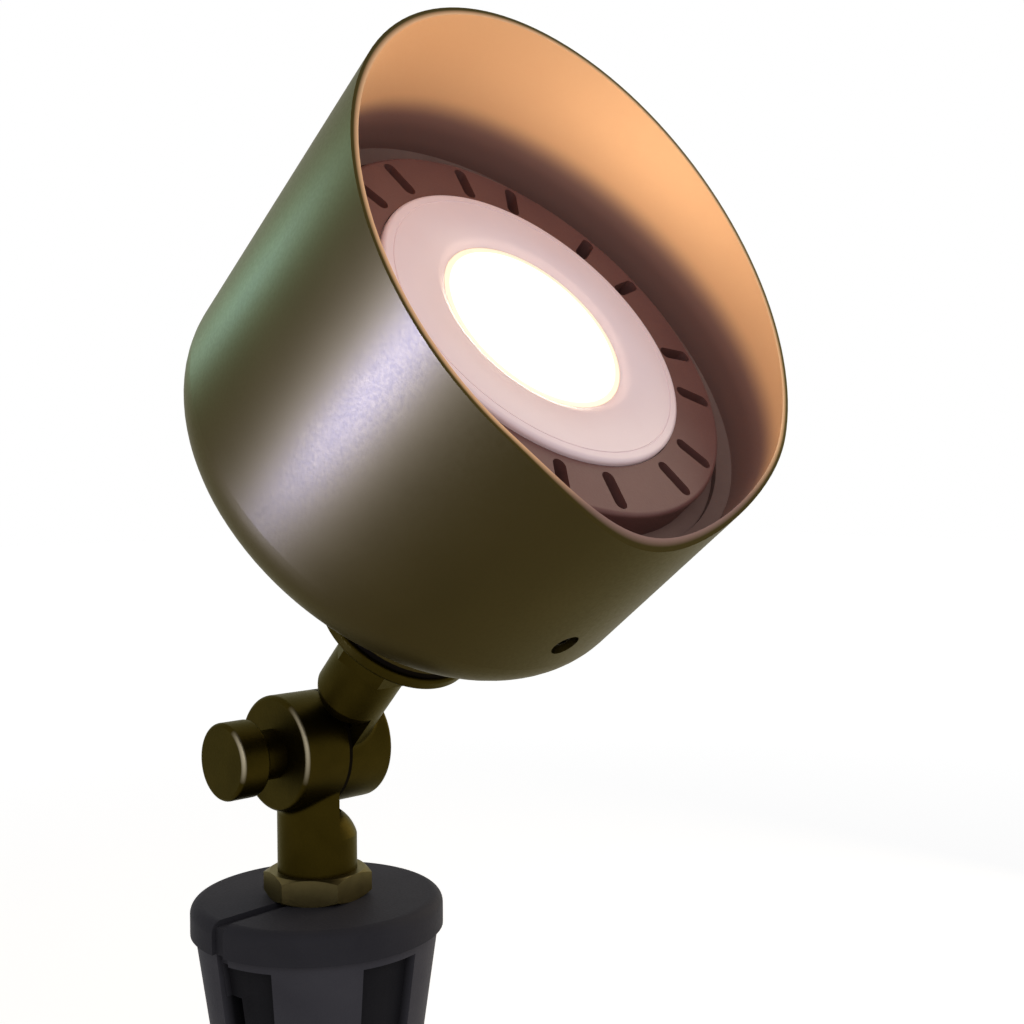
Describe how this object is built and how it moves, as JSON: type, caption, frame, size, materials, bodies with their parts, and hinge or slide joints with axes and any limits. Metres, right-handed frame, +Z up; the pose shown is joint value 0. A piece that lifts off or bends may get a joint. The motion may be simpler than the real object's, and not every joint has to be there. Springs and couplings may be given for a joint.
{
  "type": "landscape floodlight",
  "caption": "Stake-mounted garden floodlight: hooded round can on a split hollow knuckle that pans and tilts, locked by a thumbscrew.",
  "frame": {"origin": "on the stake's axis at the ground line, the underside of the stake's cap", "axes": "+Z up along the stem, the light points towards -Y and up, the thumbscrew is at -X"},
  "size_m": [0.124, 0.1557, 0.4304],
  "materials": {
    "bronzed_brass": "satin",
    "bronzed_casting": "satin",
    "composite": "matte",
    "black_rubber": "matte",
    "grey_rubber": "matte",
    "black_steel": "satin",
    "bare_aluminium": "satin",
    "coated_aluminium": "satin",
    "white_moulding": "gloss",
    "diffuser": "satin",
    "circuit_board": "satin",
    "emitter": "gloss",
    "component": "satin",
    "black_moulding": "satin",
    "plated_steel": "satin",
    "tinned_brass": "satin",
    "wire": "satin"
  },
  "bodies": {
    "ground": {"ground_stake": "composite"},
    "post": {"lower_knuckle": "bronzed_casting", "lock_nut": "bronzed_casting", "knuckle_gasket": "black_rubber"},
    "clamp": {"clamp_collar": "bronzed_casting"},
    "screw": {"thumbscrew": "bronzed_casting"},
    "head": {"upper_knuckle": "bronzed_casting", "hub_gasket": "black_rubber", "inner_nut": "plated_steel", "cable_grommet": "black_rubber", "housing": "bronzed_brass", "lamp_carrier": "bare_aluminium", "set_screws": "black_steel", "lamp_gasket": "grey_rubber", "lamp_body": "coated_aluminium", "lamp_bezel": "white_moulding", "lamp_diffuser": "diffuser", "led_board": "circuit_board", "led_emitters": "emitter", "driver_board": "circuit_board", "driver_components": "component", "lamp_rear_cap": "black_moulding", "terminal_screws": "plated_steel", "lead_terminals": "tinned_brass", "lamp_leads": "wire"}
  },
  "joints": [
    {"name": "pan", "type": "hinge", "parent": "ground", "child": "post", "pos_m": [0, 0, 0.0084], "axis": [0, 0, 1], "range_deg": [-170, 170]},
    {"name": "tilt", "type": "hinge", "parent": "post", "child": "head", "pos_m": [0, 0, 0.0483], "axis": [-1, 0, 0], "range_deg": [-40, 60]},
    {"name": "screw_advance", "type": "slide", "parent": "post", "child": "clamp", "axis": [-1, 0, 0], "range_m": [0, 0.0025]},
    {"name": "thumbscrew_turn", "type": "hinge", "parent": "clamp", "child": "screw", "pos_m": [-0.02, 0, 0.0483], "axis": [-1, 0, 0], "range_deg": [0, 720]}
  ],
  "couplings": [
    {"joint": "thumbscrew_turn", "follows": "screw_advance", "rad_per_m": 5026.5}
  ]
}
